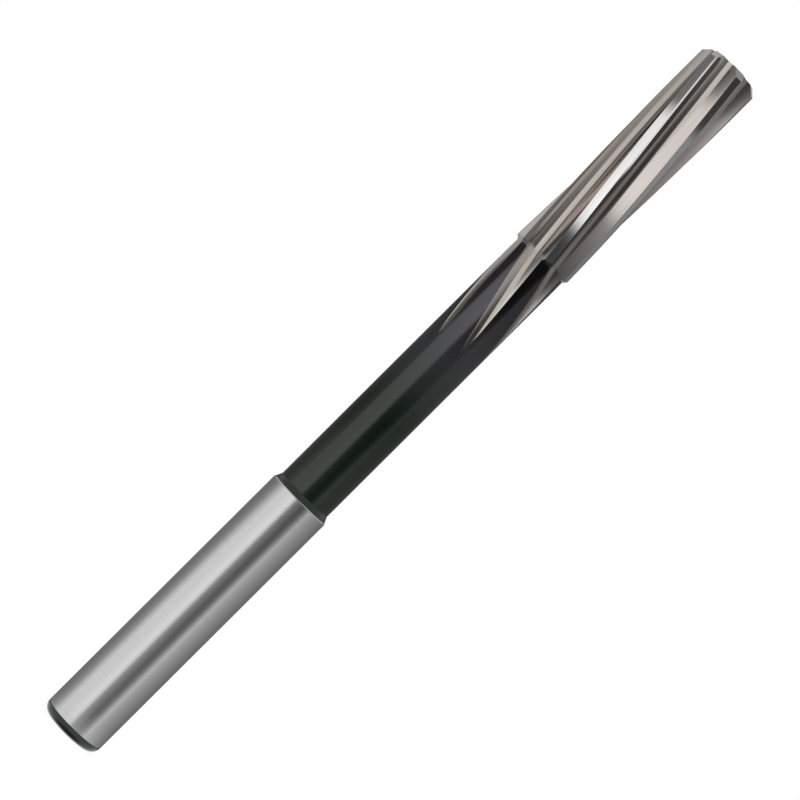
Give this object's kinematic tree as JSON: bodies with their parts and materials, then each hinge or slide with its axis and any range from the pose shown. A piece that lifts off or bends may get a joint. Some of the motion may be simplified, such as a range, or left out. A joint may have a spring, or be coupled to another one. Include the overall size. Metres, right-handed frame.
{
  "type": "machine reamer",
  "caption": "Straight-shank machine reamer with left-hand helical flutes, a bevelled lead and a slim blackened neck, for sizing drilled holes.",
  "frame": {"origin": "centre of the shank's flat end face", "axes": "+Z along the tool's axis from the shank to the cutting end; +X towards the first cutting lip at the tip face"},
  "size_m": [0.01, 0.01, 0.133],
  "materials": {
    "high_speed_steel": "ground bright on the shank and the cutting head, black oxide on the neck"
  },
  "bodies": {
    "root": {"machine_reamer": "high_speed_steel"}
  },
  "joints": []
}
